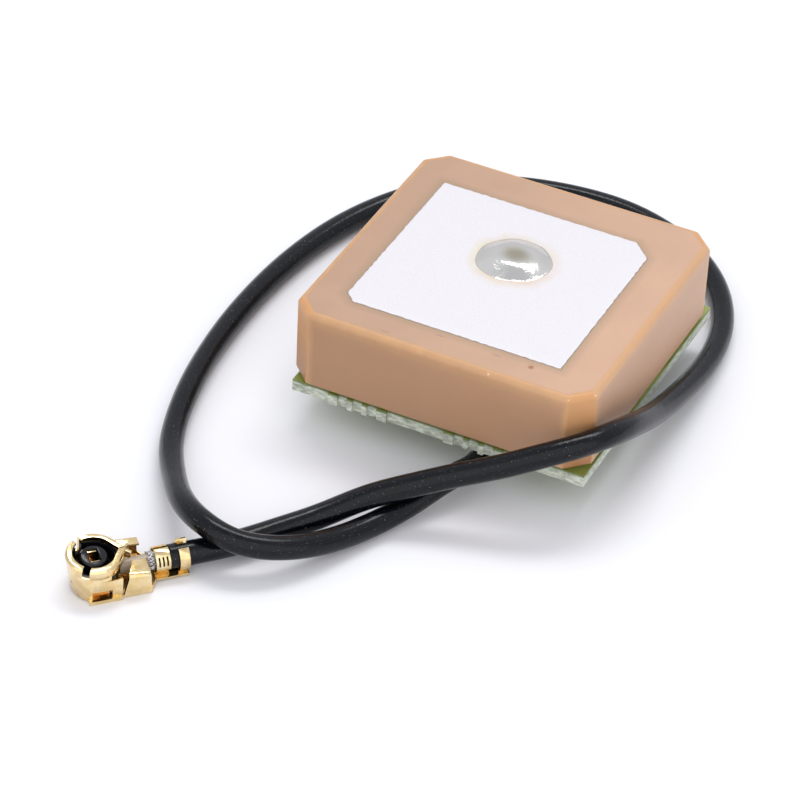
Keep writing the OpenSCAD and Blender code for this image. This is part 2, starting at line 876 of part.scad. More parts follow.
// Plug shell: one folded sheet, gold plated. Spring ring, base plate, two ears, neck and two barrels.
grip_opening = [62, 84];                   // directions of the wing tips, from the far side upwards
clamp_opening = [70, 112];
flange_share = 0.21;                       // front end of the base plate, as a share of the ring
rib_shares = [0.22, 0.5, 0.78];            // crimping marks in the first barrel
rib_angle = 152;
wing_angle = 70;                           // the far wing tip stands off the jacket in this direction
module plug_shell() {
    grip_bore = braid_d + 2 * fit;
    clamp_r = jacket_d / 2 + fit;
    rib_h = braid_d / 2;
    color("#d9b45c")
        in_plug()
            difference() {
                union() {
                    spring_ring();
                    translate([window_x[0] + sheet_t / 2, -lance_y, base_t - fit])
                        cube([window_x[1] - window_x[0] - sheet_t, sheet_t, window_top - base_t]);
                    translate([-flange_share * ring_d, -base_w / 2, 0])
                        cube([skirt_l + flange_share * ring_d, base_w, base_t]);
                    translate([0, -ear_out, 0])
                        cube([ear_end, 2 * ear_out, sheet_t]);
                    ear(ear_tip, 1);
                    ear(far_ear_tip, 0);
                    linear_extrude(sheet_t)
                        neck_outline(0);
                    linear_extrude(2 * sheet_t)
                        difference() {
                            neck_outline(0);
                            neck_outline(sheet_t);
                        }
                    translate([grip_start, -strip_w / 2, 0])
                        cube([clamp_end - grip_start, strip_w, sheet_t]);
                    translate([grip_start, -braid_d / 4, 0])
                        cube([grip_l, braid_d / 2, tail_z - grip_bore / 2]);
                    barrel(grip_start, grip_l, grip_bore, grip_opening);
                    barrel(clamp_start, clamp_l, 2 * clamp_r, clamp_opening);
                    translate([clamp_start, clamp_r * cos(wing_angle), tail_z + clamp_r * sin(wing_angle)])
                        rotate([wing_angle, 0, 0])
                            cube([clamp_l, 2 * sheet_t, sheet_t]);
                }
                for (s = rib_shares)
                    translate([grip_start + s * grip_l, 0, tail_z])
                        rotate([rib_angle, 0, 0])
                            translate([-sheet_t / 3, grip_bore / 2, -rib_h / 2])
                                cube([2 * sheet_t / 3, 2 * sheet_t, rib_h]);
            }
}

// Plug insulator: a moulded drop with the middle post, the groove round it and the contact's hole
module plug_insulator() {
    gap = sheet_t + fit;
    lip = post_d / 14;
    wall_z = plug_h - wall_down;
    groove_r = ring_r - rim_w + fit;
    color("#1d1f22")
        in_plug()
            difference() {
                union() {
                    difference() {
                        intersection() {
                            translate([0, 0, base_t])
                                linear_extrude(wall_z - base_t)
                                    drop(gap);
                            lean(gap);
                            translate([-ring_r, -ring_r, 0])
                                cube([ring_r + insulator_end, ring_d, plug_h]);
                        }
                        translate([0, 0, groove_z])
                            cylinder(r = groove_r, h = plug_h);
                        spring_slots();
                        translate([window_x[0], -base_w, 0])
                            cube([window_x[1] - window_x[0], base_w - lance_y + sheet_t + fit,
                                  window_top + fit]);
                    }
                    translate([0, 0, base_t])
                        rotate_extrude()
                            polygon([[0, 0], [post_d / 2, 0], [post_d / 2, post_z - base_t - lip],
                                     [post_d / 2 - lip, post_z - base_t], [0, post_z - base_t]]);
                }
                translate([-socket_w / 2, -socket_l / 2, strip_z])
                    cube([socket_w, socket_l, plug_h]);
                translate([0, -channel_w / 2, strip_z])
                    cube([ring_point, channel_w, channel_top - strip_z]);
            }
}

// Plug contact: a strip under the wire whose two blades stand up in the post
blade_share = 0.84;                        // width of a blade, as a share of the hole
module plug_contact() {
    foot = [socket_w - 2 * fit, socket_l - 2 * fit];
    blade_w = blade_share * socket_w;
    color("#e0bb66")
        in_plug() {
            translate([-foot[0] / 2, -foot[1] / 2, strip_z])
                cube([foot[0], foot[1], contact_t]);
            translate([0, fit - channel_w / 2, strip_z])
                cube([insulator_end, channel_w - 2 * fit, contact_t]);
            for (s = [0, 1])
                mirror([0, s, 0])
                    translate([-blade_w / 2, foot[1] / 2 - contact_t, strip_z])
                        cube([blade_w, contact_t, post_z - contact_t - strip_z]);
        }
}

module along_tail(x) {
    in_plug()
        translate([x, 0, tail_z])
            rotate([0, 90, 0])
                children();
}

module plug_braid() {
    color("#bfc1c4")
        along_tail(ear_end + fit)
            tube(braid_d, core_d, grip_end - ear_end - fit);
}

module plug_core() {
    color("#e9e6dc")
        along_tail(insulator_end + fit)
            tube(core_d, wire_d, grip_end - insulator_end - fit);
}

module plug_wire() {
    wire_tip = socket_w / 2 + wire_d / 2;
    color("#c08a5a")
        along_tail(wire_tip)
            cylinder(d = wire_d, h = grip_end - wire_tip);
}

// Lead: the jacket from the board to the plug. It leaves under the board's near edge,
// turns left and goes once round the block, leans on the front corner and crosses itself twice.
tail_side = roll_at * (cos(plug_roll) - 1) - tail_z * sin(plug_roll);
tail_up = roll_at * sin(plug_roll) + tail_z * cos(plug_roll);
function plug_point(x) = [plug_at_x + x * cos(plug_yaw) - tail_side * sin(plug_yaw),
                          plug_at_y + x * sin(plug_yaw) + tail_side * cos(plug_yaw), tail_up];
lead_route = [
    [exit_x, braid_y, lead_z],
    [exit_x, edge_near - stub_out, lead_z],
    [1.8, -8.6, 1.15],
    [0.8, -10.9, 0.8],
    [-0.4, -13.5, 0.65],
    [-1.3, -15.4, 0.9],
    [-2.6, -17.3, 1.4],
    [-4.3, -18.3, 1.8],
    [-6, -18.1, 2],
    [-7.8, -16.8, 1.65],
    [-9.4, -14.7, 1],
    [-10.8, -12.4, 0.62],
    [-11.9, -9.3, 0.6],
    [-12.8, -4.2, 0.6],
    [-12.9, 1.6, 0.6],
    [-11.9, 7.2, 0.6],
    [-10.1, 10.9, 0.6],
    [-7.4, 13.5, 0.6],
    [-3.9, 14.9, 0.6],
    [0, 15.1, 0.6],
    [3.6, 13.8, 0.6],
    [6.3, 11.4, 0.6],
    [7.8, 8.5, 0.6],
    [8.4, 5, 0.9],
    [8.5, 1.5, 1.6],
    [8.5, -1.6, 2.5],
    [8.5, -4.4, 3.7],
    [8.2, -6.3, 4.35],
    [7.4, -7.8, 4.45],
    [6, -8.9, 4.05],
    [4.4, -9.7, 3.4],
    [2.6, -10.5, 2.75],
    [0.9, -11.4, 2.15],
    [-0.8, -12.5, 1.56],
    [-2.3, -14, 1],
    [-3.6, -15.5, 0.75],
    [-4.8, -17.1, 0.7],
    plug_point(clamp_end + clamp_l),
    plug_point(clamp_end),
    plug_point(grip_end)
];
lead_sides = 8;
lead_steps = 2;

// A point of the curve through the route, u of the way from point i to the next
function end_point(p, i) = i < 0 ? 2 * p[0] - p[1]
    : i >= len(p) ? 2 * p[len(p) - 1] - p[len(p) - 2] : p[i];
function curve_point(p, i, u) =
    let (a = end_point(p, i - 1), b = p[i], c = end_point(p, i + 1), d = end_point(p, i + 2))
    (2 * b + (c - a) * u + (2 * a - 5 * b + 4 * c - d) * u * u + (3 * b - a - 3 * c + d) * u * u * u) / 2;
function curve(p, steps) = [
    for (i = [0 : len(p) - 2], k = [0 : steps - 1]) curve_point(p, i, k / steps),
    p[len(p) - 1]
];
function unit(v) = v / norm(v);
function heading(p, i, ends) = i == 0 ? ends[0] : i == len(p) - 1 ? ends[1] : unit(p[i + 1] - p[i - 1]);
function ring_points(p, i, ends, r, n) =
    let (along = heading(p, i, ends), side = unit(cross(along, z_axis)), up = cross(side, along))
    [for (k = [0 : n - 1]) p[i] + r * (cos(360 * k / n) * side + sin(360 * k / n) * up)];

// A tube along a path, with its first and last ring square to the directions in ends
module swept_tube(path, ends, r, n) {
    rings = len(path);
    points = [for (i = [0 : rings - 1]) each ring_points(path, i, ends, r, n)];
    walls = [for (i = [0 : rings - 2], k = [0 : n - 1])
        [i * n + k, i * n + (k + 1) % n, (i + 1) * n + (k + 1) % n, (i + 1) * n + k]];
    first = [for (k = [n - 1 : -1 : 0]) k];
    last = [for (k = [0 : n - 1]) (rings - 1) * n + k];
    polyhedron(points, concat([first], walls, [last]));
}

module coax_lead() {
    last = len(lead_route) - 1;
    ends = [unit(lead_route[1] - lead_route[0]), unit(lead_route[last] - lead_route[last - 1])];
    color("#1b1c1f")
        swept_tube(curve(lead_route, lead_steps), ends, jacket_d / 2, lead_sides);
}

ceramic_block();
top_electrode();
ground_electrode();
feed_pin();
feed_solder();
pin_solder();
mounting_tape();
circuit_board();
shield_can();
can_solder();
band_filter();
amplifier_chip();
supply_choke();
chip_capacitors();
chip_resistors();
lead_braid();
lead_core();
lead_wire();
braid_solder();
wire_solder();
coax_lead();
plug_shell();
plug_insulator();
plug_contact();
plug_braid();
plug_core();
plug_wire();
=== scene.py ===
import json
import math

import bmesh
import bpy
import numpy as np
from mathutils import Matrix, Vector

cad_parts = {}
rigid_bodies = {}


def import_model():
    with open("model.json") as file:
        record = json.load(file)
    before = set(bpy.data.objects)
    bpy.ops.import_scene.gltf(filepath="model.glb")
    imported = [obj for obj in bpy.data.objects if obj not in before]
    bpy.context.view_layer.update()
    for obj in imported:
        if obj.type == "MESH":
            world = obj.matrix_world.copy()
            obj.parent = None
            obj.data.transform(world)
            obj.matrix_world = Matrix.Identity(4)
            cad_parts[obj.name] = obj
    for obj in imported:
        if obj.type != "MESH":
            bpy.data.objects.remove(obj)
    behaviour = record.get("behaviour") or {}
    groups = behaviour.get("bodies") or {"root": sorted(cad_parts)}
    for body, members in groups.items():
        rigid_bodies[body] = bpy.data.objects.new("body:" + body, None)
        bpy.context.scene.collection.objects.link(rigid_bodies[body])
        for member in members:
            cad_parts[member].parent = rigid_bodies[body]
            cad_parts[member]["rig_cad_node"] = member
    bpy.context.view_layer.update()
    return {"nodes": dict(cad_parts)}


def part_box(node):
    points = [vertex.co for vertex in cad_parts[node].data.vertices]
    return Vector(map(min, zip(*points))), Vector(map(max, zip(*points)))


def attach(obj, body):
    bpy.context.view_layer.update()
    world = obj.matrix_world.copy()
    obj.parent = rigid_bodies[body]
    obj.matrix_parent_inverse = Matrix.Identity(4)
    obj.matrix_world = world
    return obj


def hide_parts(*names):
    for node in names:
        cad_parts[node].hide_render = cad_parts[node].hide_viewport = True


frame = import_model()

MM = 0.001

# View
# The camera stands where the photograph was taken from: a long lens some 190 mm away, 38 degrees
# above the table, and turned 24 degrees from the module's near edge towards its right.
VIEW_AZIMUTH, VIEW_ELEVATION, VIEW_ROLL = 24.46, 37.54, 2.96
VIEW_TARGET = Vector((-3.493, -3.494, 0.0)) * MM
VIEW_DISTANCE = 187.45 * MM
az, el, roll = (math.radians(a) for a in (VIEW_AZIMUTH, VIEW_ELEVATION, VIEW_ROLL))
towards = Vector((math.sin(az) * math.cos(el), -math.cos(az) * math.cos(el), math.sin(el)))
level = Vector((math.cos(az), math.sin(az), 0))
right = math.cos(roll) * level + math.sin(roll) * towards.cross(level)
lens = bpy.data.cameras.new("camera")
lens.lens = 180
lens.sensor_width = 36
lens.clip_start = 5 * MM
lens.clip_end = 20
camera = bpy.data.objects.new("camera", lens)
camera.matrix_world = Matrix((right, towards.cross(right), towards)).transposed().to_4x4()
camera.location = VIEW_TARGET + VIEW_DISTANCE * towards
bpy.context.scene.collection.objects.link(camera)
bpy.context.scene.camera = camera


# Coaxial lead
# A thin coaxial lead in a black jacket, cut to length and pressed into shape by handling.
# It comes out under the board's near edge, goes once round the block and ends in the plug.
def put_mesh(name, points, faces, smooth=True):
    """A mesh object from an array of corners, in millimetres, and a list of arrays of faces."""
    mesh = bpy.data.meshes.new(name)
    corners = np.asarray(points, float).reshape(-1, 3) * MM
    loops = np.concatenate([np.asarray(f).ravel() for f in faces])
    sizes = np.concatenate([np.full(len(f), len(f[0])) for f in faces])
    mesh.vertices.add(len(corners))
    mesh.vertices.foreach_set("co", corners.ravel())
    mesh.loops.add(len(loops))
    mesh.loops.foreach_set("vertex_index", loops.astype(np.int32))
    mesh.polygons.add(len(sizes))
    mesh.polygons.foreach_set("loop_start", np.concatenate([[0], np.cumsum(sizes)[:-1]]).astype(np.int32))
    mesh.polygons.foreach_set("use_smooth", np.full(len(sizes), smooth))
    mesh.update(calc_edges=True)
    mesh.validate()
    piece = bpy.data.objects.new(name, mesh)
    bpy.context.scene.collection.objects.link(piece)
    return piece


def band_faces(rows, columns, start=0):
    """Quads between neighbouring rows of a grid whose columns close on themselves."""
    r, c = np.meshgrid(np.arange(rows - 1), np.arange(columns), indexing="ij")
    n = (c + 1) % columns
    quads = np.stack([r * columns + c, r * columns + n, (r + 1) * columns + n, (r + 1) * columns + c], -1)
    return quads.reshape(-1, 4) + start


def unit(v):
    """Vectors of length one, along the last axis."""
    return v / np.linalg.norm(v, axis=-1, keepdims=True)


def spline(knots, per_knot):
    """The smooth cubic through the knots: each stretch joins the next with equal slope and bend."""
    knots = np.asarray(knots, float)
    step = np.linalg.norm(np.diff(knots, axis=0), axis=1)
    place = np.concatenate([[0], np.cumsum(step)])
    count = len(knots)
    system = np.zeros((count, count))
    rhs = np.zeros((count, 3))
    inner = np.arange(1, count - 1)
    system[inner, inner - 1] = step[:-1]
    system[inner, inner] = 2 * (step[:-1] + step[1:])
    system[inner, inner + 1] = step[1:]
    slope = np.diff(knots, axis=0) / step[:, None]
    rhs[inner] = 6 * np.diff(slope, axis=0)
    system[0, 0] = system[-1, -1] = 1
    bend = np.linalg.solve(system, rhs)
    s = np.linspace(0, place[-1], count * per_knot)
    i = np.clip(np.searchsorted(place, s, side="right") - 1, 0, count - 2)
    h = step[i][:, None]
    a = (place[i + 1] - s)[:, None] / h
    b = 1 - a
    bulge = ((a ** 3 - a) * bend[i] + (b ** 3 - b) * bend[i + 1]) * h ** 2 / 6
    return a * knots[i] + b * knots[i + 1] + bulge


def swept(path, radius, sides):
    """Rings round a path: the point at angle t is path + radius * (side * cos t - up * sin t)."""
    along = unit(np.gradient(path, axis=0))
    side = unit(np.cross(along, (0, 0, 1)))
    up = np.cross(side, along)
    t = np.linspace(0, 2 * np.pi, sides, endpoint=False)
    circle = np.cos(t)[None, :, None] * side[:, None] - np.sin(t)[None, :, None] * up[:, None]
    return path[:, None] + np.broadcast_to(radius, (len(path), sides))[..., None] * circle


JACKET_D = 1.13
EXIT = (2.25, -7.445, 1.175)
PLUG_AT = np.array([-9.4, -22.1, 0.0])
PLUG_YAW, PLUG_ROLL = math.radians(46), math.radians(6)
PLUG_BASE_W, TAIL_Z = 2.7, 0.705
EAR_END, GRIP_START, GRIP_END, CLAMP_END, CLAMP_LEAD = 2.35, 2.75, 3.41, 4.27, 0.46


def in_plug(points):
    """Points given in the plug's own frame, rolled on to its base's near edge and set in place."""
    x, y, z = np.moveaxis(np.asarray(points, float), -1, 0)
    y = y + PLUG_BASE_W / 2
    y, z = (y * math.cos(PLUG_ROLL) - z * math.sin(PLUG_ROLL) - PLUG_BASE_W / 2,
            y * math.sin(PLUG_ROLL) + z * math.cos(PLUG_ROLL))
    return PLUG_AT + np.stack([x * math.cos(PLUG_YAW) - y * math.sin(PLUG_YAW),
                               x * math.sin(PLUG_YAW) + y * math.cos(PLUG_YAW), z], -1)


# The jacket's route, point by point, in millimetres, from under the board to the plug's first barrel
LEAD_ROUTE = [
    (2.25, -6.805, 1.175), EXIT, (1.8, -8.6, 1.15), (0.8, -10.9, 0.8), (-0.4, -13.5, 0.65),
    (-1.3, -15.4, 0.9), (-2.6, -17.3, 1.4), (-4.3, -18.3, 1.8), (-6, -18.1, 2), (-7.8, -16.8, 1.65),
    (-9.4, -14.7, 1), (-10.8, -12.4, 0.62), (-11.9, -9.3, 0.6), (-12.8, -4.2, 0.6), (-12.9, 1.6, 0.6),
    (-11.9, 7.2, 0.6), (-10.1, 10.9, 0.6), (-7.4, 13.5, 0.6), (-3.9, 14.9, 0.6), (0, 15.1, 0.6),
    (3.6, 13.8, 0.6), (6.3, 11.4, 0.6), (7.8, 8.5, 0.6), (8.4, 5, 0.9), (8.5, 1.5, 1.6),
    (8.5, -1.6, 2.5), (8.5, -4.4, 3.7), (8.2, -6.3, 4.35), (7.4, -7.8, 4.45), (6, -8.9, 4.05),
    (4.4, -9.7, 3.4), (2.6, -10.5, 2.75), (0.9, -11.4, 2.15), (-0.8, -12.5, 1.56), (-2.3, -14, 1),
    (-3.6, -15.5, 0.75), (-4.8, -17.1, 0.7),
    *in_plug([(CLAMP_END + CLAMP_LEAD, 0, TAIL_Z), (CLAMP_END, 0, TAIL_Z), (GRIP_END, 0, TAIL_Z)])]
ROUTE_STEPS = 22
lead_path = spline(LEAD_ROUTE, ROUTE_STEPS)
lead_length = np.linalg.norm(np.diff(lead_path, axis=0), axis=1).sum()


def waves(u, v, seed, terms, reach):
    """A smooth uneven height between about -1 and 1: a sum of sines of random slant and phase."""
    rng = np.random.default_rng(seed)
    height = np.zeros(np.broadcast(u, v).shape)
    for _ in range(terms):
        angle, size, phase = rng.uniform(0, np.pi), rng.uniform(0.4, 1), rng.uniform(0, 2 * np.pi)
        slant = u * np.cos(angle) + v * np.sin(angle)
        height = height + np.sin(slant * 2 * np.pi / (reach * size) + phase)
    return height / math.sqrt(terms)


LEAD_SIDES = 40
UNEVEN_SHARE = 0.008
ring = np.linspace(0, 2 * np.pi, LEAD_SIDES, endpoint=False)
lead_s = np.linspace(0, lead_length, len(lead_path))
# Radius: the jacket's own, with a slow unevenness of about one part in a hundred
uneven = waves(lead_s[:, None], 0.3 * np.cos(ring), 3, 6, 9)
lead_rings = swept(lead_path, JACKET_D / 2 * (1 + UNEVEN_SHARE * uneven), LEAD_SIDES)
first_ring = np.arange(LEAD_SIDES)[None]
lead_caps = [first_ring[:, ::-1], first_ring + (len(lead_path) - 1) * LEAD_SIDES]
jacket = put_mesh("lead_jacket", lead_rings, [band_faces(len(lead_path), LEAD_SIDES), *lead_caps])


def linear(*levels):
    """A colour given in 0 to 255 steps as linear light."""
    c = np.array(levels) / 255
    return tuple(np.where(c <= 0.04045, c / 12.92, ((c + 0.055) / 1.055) ** 2.4))


def feed(tree, socket, value):
    """The socket takes the value, or a link where the value is another node's socket."""
    if isinstance(value, bpy.types.NodeSocket):
        tree.links.new(value, socket)
    else:
        socket.default_value = value


def add(tree, kind, **inputs):
    """A node of a kind, with each named input fed."""
    node = tree.nodes.new("ShaderNode" + kind)
    for name, value in inputs.items():
        feed(tree, node.inputs[name.replace("_", " ")], value)
    return node


def finish_of(name, colour=(0.8, 0.8, 0.8), roughness=0.5, metallic=0.0, specular=0.5):
    """A material with one Principled shader: returns it, its tree, its shader and Object coordinates.
    A colour or roughness that a pattern gives is left out here."""
    material = bpy.data.materials.new(name)
    material.use_nodes = True
    tree = material.node_tree
    shader = tree.nodes["Principled BSDF"]
    shader.inputs["Base Color"].default_value = (*colour, 1)
    shader.inputs["Roughness"].default_value = roughness
    shader.inputs["Metallic"].default_value = metallic
    shader.inputs["Specular IOR Level"].default_value = specular
    return material, tree, shader, add(tree, "TexCoord").outputs["Object"]


def noise(tree, place, size, detail=3.0, rough=0.55, distortion=0.0):
    """A cloudy pattern whose grains are about size millimetres across."""
    return add(tree, "TexNoise", Vector=place, Scale=1 / (size * MM), Detail=detail, Roughness=rough,
               Distortion=distortion).outputs["Fac"]


def ramp(tree, value, *stops):
    """Colours or greys between stops of (place, colour)."""
    node = add(tree, "ValToRGB", Fac=value)
    elements = node.color_ramp.elements
    while len(elements) < len(stops):
        elements.new(0.5)
    for element, (place, colour) in zip(elements, stops):
        element.position = place
        element.color = (*colour, 1) if isinstance(colour, tuple) else (colour, colour, colour, 1)
    return node.outputs["Color"]


def blend_colour(tree, share, a, b):
    """Colour a, or b where the share is one."""
    node = tree.nodes.new("ShaderNodeMix")
    node.data_type = "RGBA"
    a, b = ((*c, 1) if isinstance(c, tuple) else c for c in (a, b))
    for socket, value in ((node.inputs[0], share), (node.inputs[6], a), (node.inputs[7], b)):
        feed(tree, socket, value)
    return node.outputs[2]


def calc(tree, what, *values):
    """One step of arithmetic on values."""
    node = tree.nodes.new("ShaderNodeMath")
    node.operation = what
    for socket, value in zip(node.inputs, values):
        feed(tree, socket, value)
    return node.outputs[0]


def relief(tree, shader, height, depth, strength):
    """Bumps of the given depth in millimetres on the shader, on top of those it has."""
    bump = add(tree, "Bump", Height=height, Strength=strength, Distance=depth * MM)
    below = shader.inputs["Normal"].links
    if below:
        tree.links.new(below[0].from_socket, bump.inputs["Normal"])
    tree.links.new(bump.outputs["Normal"], shader.inputs["Normal"])


def dress(piece, material):
    """The piece takes its material. A new piece rides on the one body."""
    piece.data.materials.clear()
    piece.data.materials.append(material)
    if piece.get("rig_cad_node") is None:
        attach(piece, "root")
    return piece


# Rubbed places are a little paler, and dust sits on the jacket in single specks, which also stand in as
# painted glints
black_jacket, tree, shader, place = finish_of("black_jacket", specular=0.25)
grain = noise(tree, place, 0.1, 4)
mottle = noise(tree, place, 1.4, 3)
scuffs = ramp(tree, noise(tree, place, 0.3, 6, 0.7, 1.5), (0.63, 0.0), (0.72, 1.0))
dust_and_glints = ramp(tree, noise(tree, place, 0.07, 2, 0.8), (0.68, 0.0), (0.74, 1.0))
scuffed = blend_colour(tree, scuffs, linear(6, 8, 12), linear(58, 62, 70))
dust_and_glint_colour = blend_colour(tree, calc(tree, "MULTIPLY", dust_and_glints, 0.7), scuffed, linear(176, 178, 184))
tree.links.new(dust_and_glint_colour, shader.inputs["Base Color"])
tree.links.new(calc(tree, "MULTIPLY_ADD", mottle, 0.2, 0.06), shader.inputs["Roughness"])
relief(tree, shader, grain, 0.012, 0.6)
relief(tree, shader, mottle, 0.05, 0.4)
dress(jacket, black_jacket)
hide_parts("coax_lead")


# Ceramic block
# One pressed and fired block of tan dielectric ceramic. Its upright edges are chamfered, its top edge
# is rounded by tumbling, and thin edges let a little more of the light through, so they look amber.
BLOCK_W, BLOCK_H, BLOCK_CHAMFER, BLOCK_ROUND, BLOCK_FOOT_ROUND = 15.0, 4.0, 1.0, 0.3, 0.15
block_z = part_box("ceramic_block")[0].z / MM


def octagon_rings(half, diagonal, radius, arc, side):
    """Closed outlines, one per row. Each is an octagon whose eight lines lie half or diagonal away from
    the middle, with a disc of the radius rolled round its corners."""
    half, diagonal, radius = (np.asarray(v, float)[:, None] for v in (half, diagonal, radius))
    a = np.arange(8) * np.pi / 4
    b = a + np.pi / 4
    even = np.arange(8) % 2 == 0
    reach_a = np.where(even, half, diagonal) - radius
    reach_b = np.where(even, diagonal, half) - radius
    sine = math.sin(math.pi / 4)
    corner = np.stack([(reach_a * np.sin(b) - reach_b * np.sin(a)) / sine,
                       (reach_b * np.cos(a) - reach_a * np.cos(b)) / sine], -1)
    t = a[:, None] + np.linspace(0, np.pi / 4, arc)
    arcs = corner[:, :, None] + radius[..., None, None] * np.stack([np.cos(t), np.sin(t)], -1)
    share = (np.arange(side) + 1)[:, None] / (side + 1)
    sides = arcs[:, :, -1:] * (1 - share) + np.roll(arcs[:, :, :1], -1, axis=1) * share
    return np.concatenate([arcs, sides], axis=2).reshape(len(half), -1, 2)


def closed_stack(name, outlines, heights):
    """A closed skin through outlines stacked at the heights, with its first and last row filled in."""
    rows, columns = outlines.shape[:2]
    heights = np.broadcast_to(np.asarray(heights, float).reshape(rows, -1), (rows, columns))
    points = np.concatenate([outlines, heights[..., None]], -1)
    ends = [np.arange(columns)[::-1][None], np.arange(columns)[None] + (rows - 1) * columns]
    return put_mesh(name, points, [band_faces(rows, columns), *ends])


turn = np.linspace(0, np.pi / 2, 12)
foot = np.linspace(0, np.pi / 2, 6)
below_round = np.array([3.0, 2.0, 1.2, 0.7, 0.4, 0.15])
inset = np.concatenate([BLOCK_FOOT_ROUND * (1 - np.sin(foot)), np.zeros(len(below_round)),
                        BLOCK_ROUND * (1 - np.cos(turn))])
height = np.concatenate([BLOCK_FOOT_ROUND * (1 - np.cos(foot)), BLOCK_H - BLOCK_ROUND - below_round,
                         BLOCK_H - BLOCK_ROUND * (1 - np.sin(turn))])
# The upright corners are rounded a little too, and more where the outline draws in
CORNER_ROUND, CORNER_GAIN = 0.16, 0.3
ARC_POINTS, WALL_POINTS = 7, 40
outlines = octagon_rings(BLOCK_W / 2 - inset, (BLOCK_W - BLOCK_CHAMFER) / math.sqrt(2) - inset,
                         CORNER_ROUND + CORNER_GAIN * inset, ARC_POINTS, WALL_POINTS)
wall_rows = len(height)
# The flat top and foot run in towards the middle in a few smaller copies of the last outline
inwards = np.array([0.99, 0.9, 0.6, 0.2, 0.02])[:, None, None]
outlines = np.concatenate([outlines[0] * inwards[::-1], outlines, outlines[-1] * inwards])
height = np.concatenate([np.zeros(len(inwards)), height, np.full(len(inwards), BLOCK_H)])
block = closed_stack("block_body", outlines, block_z + height)


def paint(piece, name, values):
    """A number for each corner of a mesh, for its material to read."""
    values = np.asarray(values, np.float32).ravel()
    piece.data.attributes.new(name, "FLOAT", "POINT").data.foreach_set("value", values)


# How much of an edge each corner of the mesh is. Each of the eight rows is an upright edge and the wall
# after it: the even rows' walls are the cut faces, and the last row's wall looks along +X
BAND_DEPTH = 0.5
on_edge, on_cut = np.zeros((2, 8, ARC_POINTS + WALL_POINTS))
on_edge[:, :ARC_POINTS] = 1
on_cut[::2] = 1
on_cut[::2, :ARC_POINTS] = np.linspace(0, 1, ARC_POINTS)
on_cut[1::2, :ARC_POINTS] = np.linspace(1, 0, ARC_POINTS)
# The wall that looks along +X takes less of the painted shade than the others
side_shade = np.ones((8, ARC_POINTS + WALL_POINTS))
side_shade[7] = 0.45
side_shade[0, :ARC_POINTS] = 0.45
ends = np.zeros(len(inwards))
is_wall = np.concatenate([ends, np.ones(wall_rows), ends])[:, None]
band = is_wall * np.exp(-((BLOCK_H - height[:, None]) / BAND_DEPTH) ** 2)
paint(block, "top_band", np.broadcast_to(band, (len(height), on_edge.size)))
paint(block, "corner", is_wall * on_edge.ravel())
paint(block, "cut_face", is_wall * on_cut.ravel())
# Painted shade: the sides are tinted browner and darker than the top
paint(block, "side", is_wall * side_shade.ravel())

fired_ceramic, tree, shader, place = finish_of("fired_ceramic", roughness=0.38, specular=0.35)
clouds = noise(tree, place, 3.5, 4)
fine = noise(tree, place, 0.16, 3)
glow_patches = noise(tree, place, 0.9, 4, 0.6)


def painted(tree, name):
    """The numbers that were painted on the mesh under a name."""
    node = tree.nodes.new("ShaderNodeAttribute")
    node.attribute_name = name
    return node.outputs["Fac"]


at = add(tree, "SeparateXYZ", Vector=place).outputs
# The block is painted paler towards +X, as light falling from that side. Its sides are painted browner than
# its top as shade, and its edges a painted amber glow
painted_light_along_x = calc(tree, "MULTIPLY_ADD", at["X"], 0.036 / MM, 0.25)
shade = calc(tree, "ADD", calc(tree, "MULTIPLY", clouds, 0.5), painted_light_along_x)
body_colour = ramp(tree, shade, (0.25, linear(176, 143, 118)), (0.8, linear(198, 161, 134)))
# Painted glow: the rounded top edge and upright corners are amber in patches, as if light came through the
# thin ceramic
edge = calc(tree, "MAXIMUM", painted(tree, "top_band"), painted(tree, "corner"))
amber = calc(tree, "MULTIPLY", edge, calc(tree, "MULTIPLY_ADD", glow_patches, 0.9, 0.2))
# Painted shade on the sides
side_shade_share = calc(tree, "MULTIPLY", painted(tree, "side"), 0.5)
body_colour = blend_colour(tree, side_shade_share, body_colour, linear(158, 112, 70))
edged = blend_colour(tree, amber, body_colour, linear(202, 158, 112))
# The cut faces are amber too, a painted glow, and darker towards the foot: painted shade and a painted
# reflection of the dark lead below
rise = calc(tree, "MULTIPLY_ADD", at["Z"], 0.25 / MM, -0.55)
cut_face_shading = ramp(tree, rise, (0.0, linear(150, 98, 58)), (0.75, linear(200, 148, 98)))
edged = blend_colour(tree, calc(tree, "MULTIPLY", painted(tree, "cut_face"), 0.8), edged, cut_face_shading)


def away(tree, place, centre, squeeze=1):
    """Distance from a centre, in millimetres, with the distance along X times the squeeze.
    A centre without a height gives the distance in plan."""
    scale = (squeeze, 1, 0 if len(centre) == 2 else 1)
    offset = [-c * k * MM for c, k in zip((*centre, 0)[:3], scale)]
    moved = add(tree, "Mapping", Vector=place, Scale=scale, Location=offset)
    length = add(tree, "VectorMath", Vector=moved.outputs["Vector"])
    length.operation = "LENGTH"
    return calc(tree, "DIVIDE", length.outputs["Value"], MM)


# A burnt speck, and three pale spots on the rounded edge that are painted glints
top = block_z + BLOCK_H
for centre, size, colour in (((4.06, -6.14, top), 0.14, linear(160, 114, 84)),
                             ((2.56, -7.42, top - 0.1), 0.06, linear(218, 188, 154)),
                             ((6.5, -7.42, top - 0.08), 0.05, linear(226, 198, 166)),
                             ((7.42, -6.5, top - 0.08), 0.06, linear(226, 198, 166))):
    spot = ramp(tree, calc(tree, "DIVIDE", away(tree, place, centre), 2 * size), (0.3, 1.0), (0.6, 0.0))
    edged = blend_colour(tree, spot, edged, colour)
